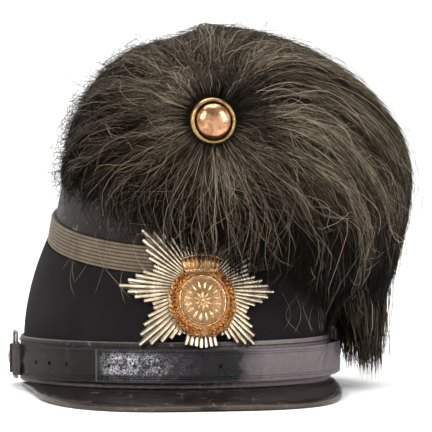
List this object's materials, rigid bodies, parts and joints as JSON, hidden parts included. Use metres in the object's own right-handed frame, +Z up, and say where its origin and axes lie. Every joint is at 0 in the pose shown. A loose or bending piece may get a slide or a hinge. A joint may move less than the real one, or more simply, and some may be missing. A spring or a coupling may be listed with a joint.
{
  "type": "plumed shako hat",
  "caption": "Military shako with cloth body, slanted leather top, braid band, leather peak, chin strap, ray star with medallion and a full horsehair plume ending in a side tail.",
  "frame": {"origin": "middle of the hat's footprint on the surface it rests on", "axes": "-Y towards the front with the peak and star, +X towards the wearer's left where the plume's tail hangs, +Z up from the surface"},
  "size_m": [0.216, 0.2446, 0.1925],
  "materials": {
    "cloth": "matt felted wool",
    "hair": "dry dark horsehair",
    "braid": "dull silver thread braid",
    "black_leather": "worn gloss",
    "peak_leather": "worn satin, scuffed",
    "grey_leather": "dull, aged",
    "patent_leather": "patent gloss",
    "loop_steel": "tarnished",
    "stud_brass": "dull",
    "star_silver": "warm silver plate",
    "medallion_gilt": "copper-toned gilding",
    "rim_brass": "worn polish",
    "button_copper": "polished copper"
  },
  "bodies": {
    "root": {"crown_body": "cloth", "top_cap": "black_leather", "braid_band": "braid", "base_band": "grey_leather", "peak": "peak_leather", "strap_long": "patent_leather", "strap_left": "grey_leather", "side_loop_left": "loop_steel", "side_loop_right": "loop_steel", "tab_left": "grey_leather", "tab_right": "grey_leather", "tab_stud_left": "stud_brass", "tab_stud_right": "stud_brass", "star": "star_silver", "medallion": "medallion_gilt", "plume": "hair", "button_rim": "rim_brass", "plume_button": "button_copper"}
  },
  "joints": []
}
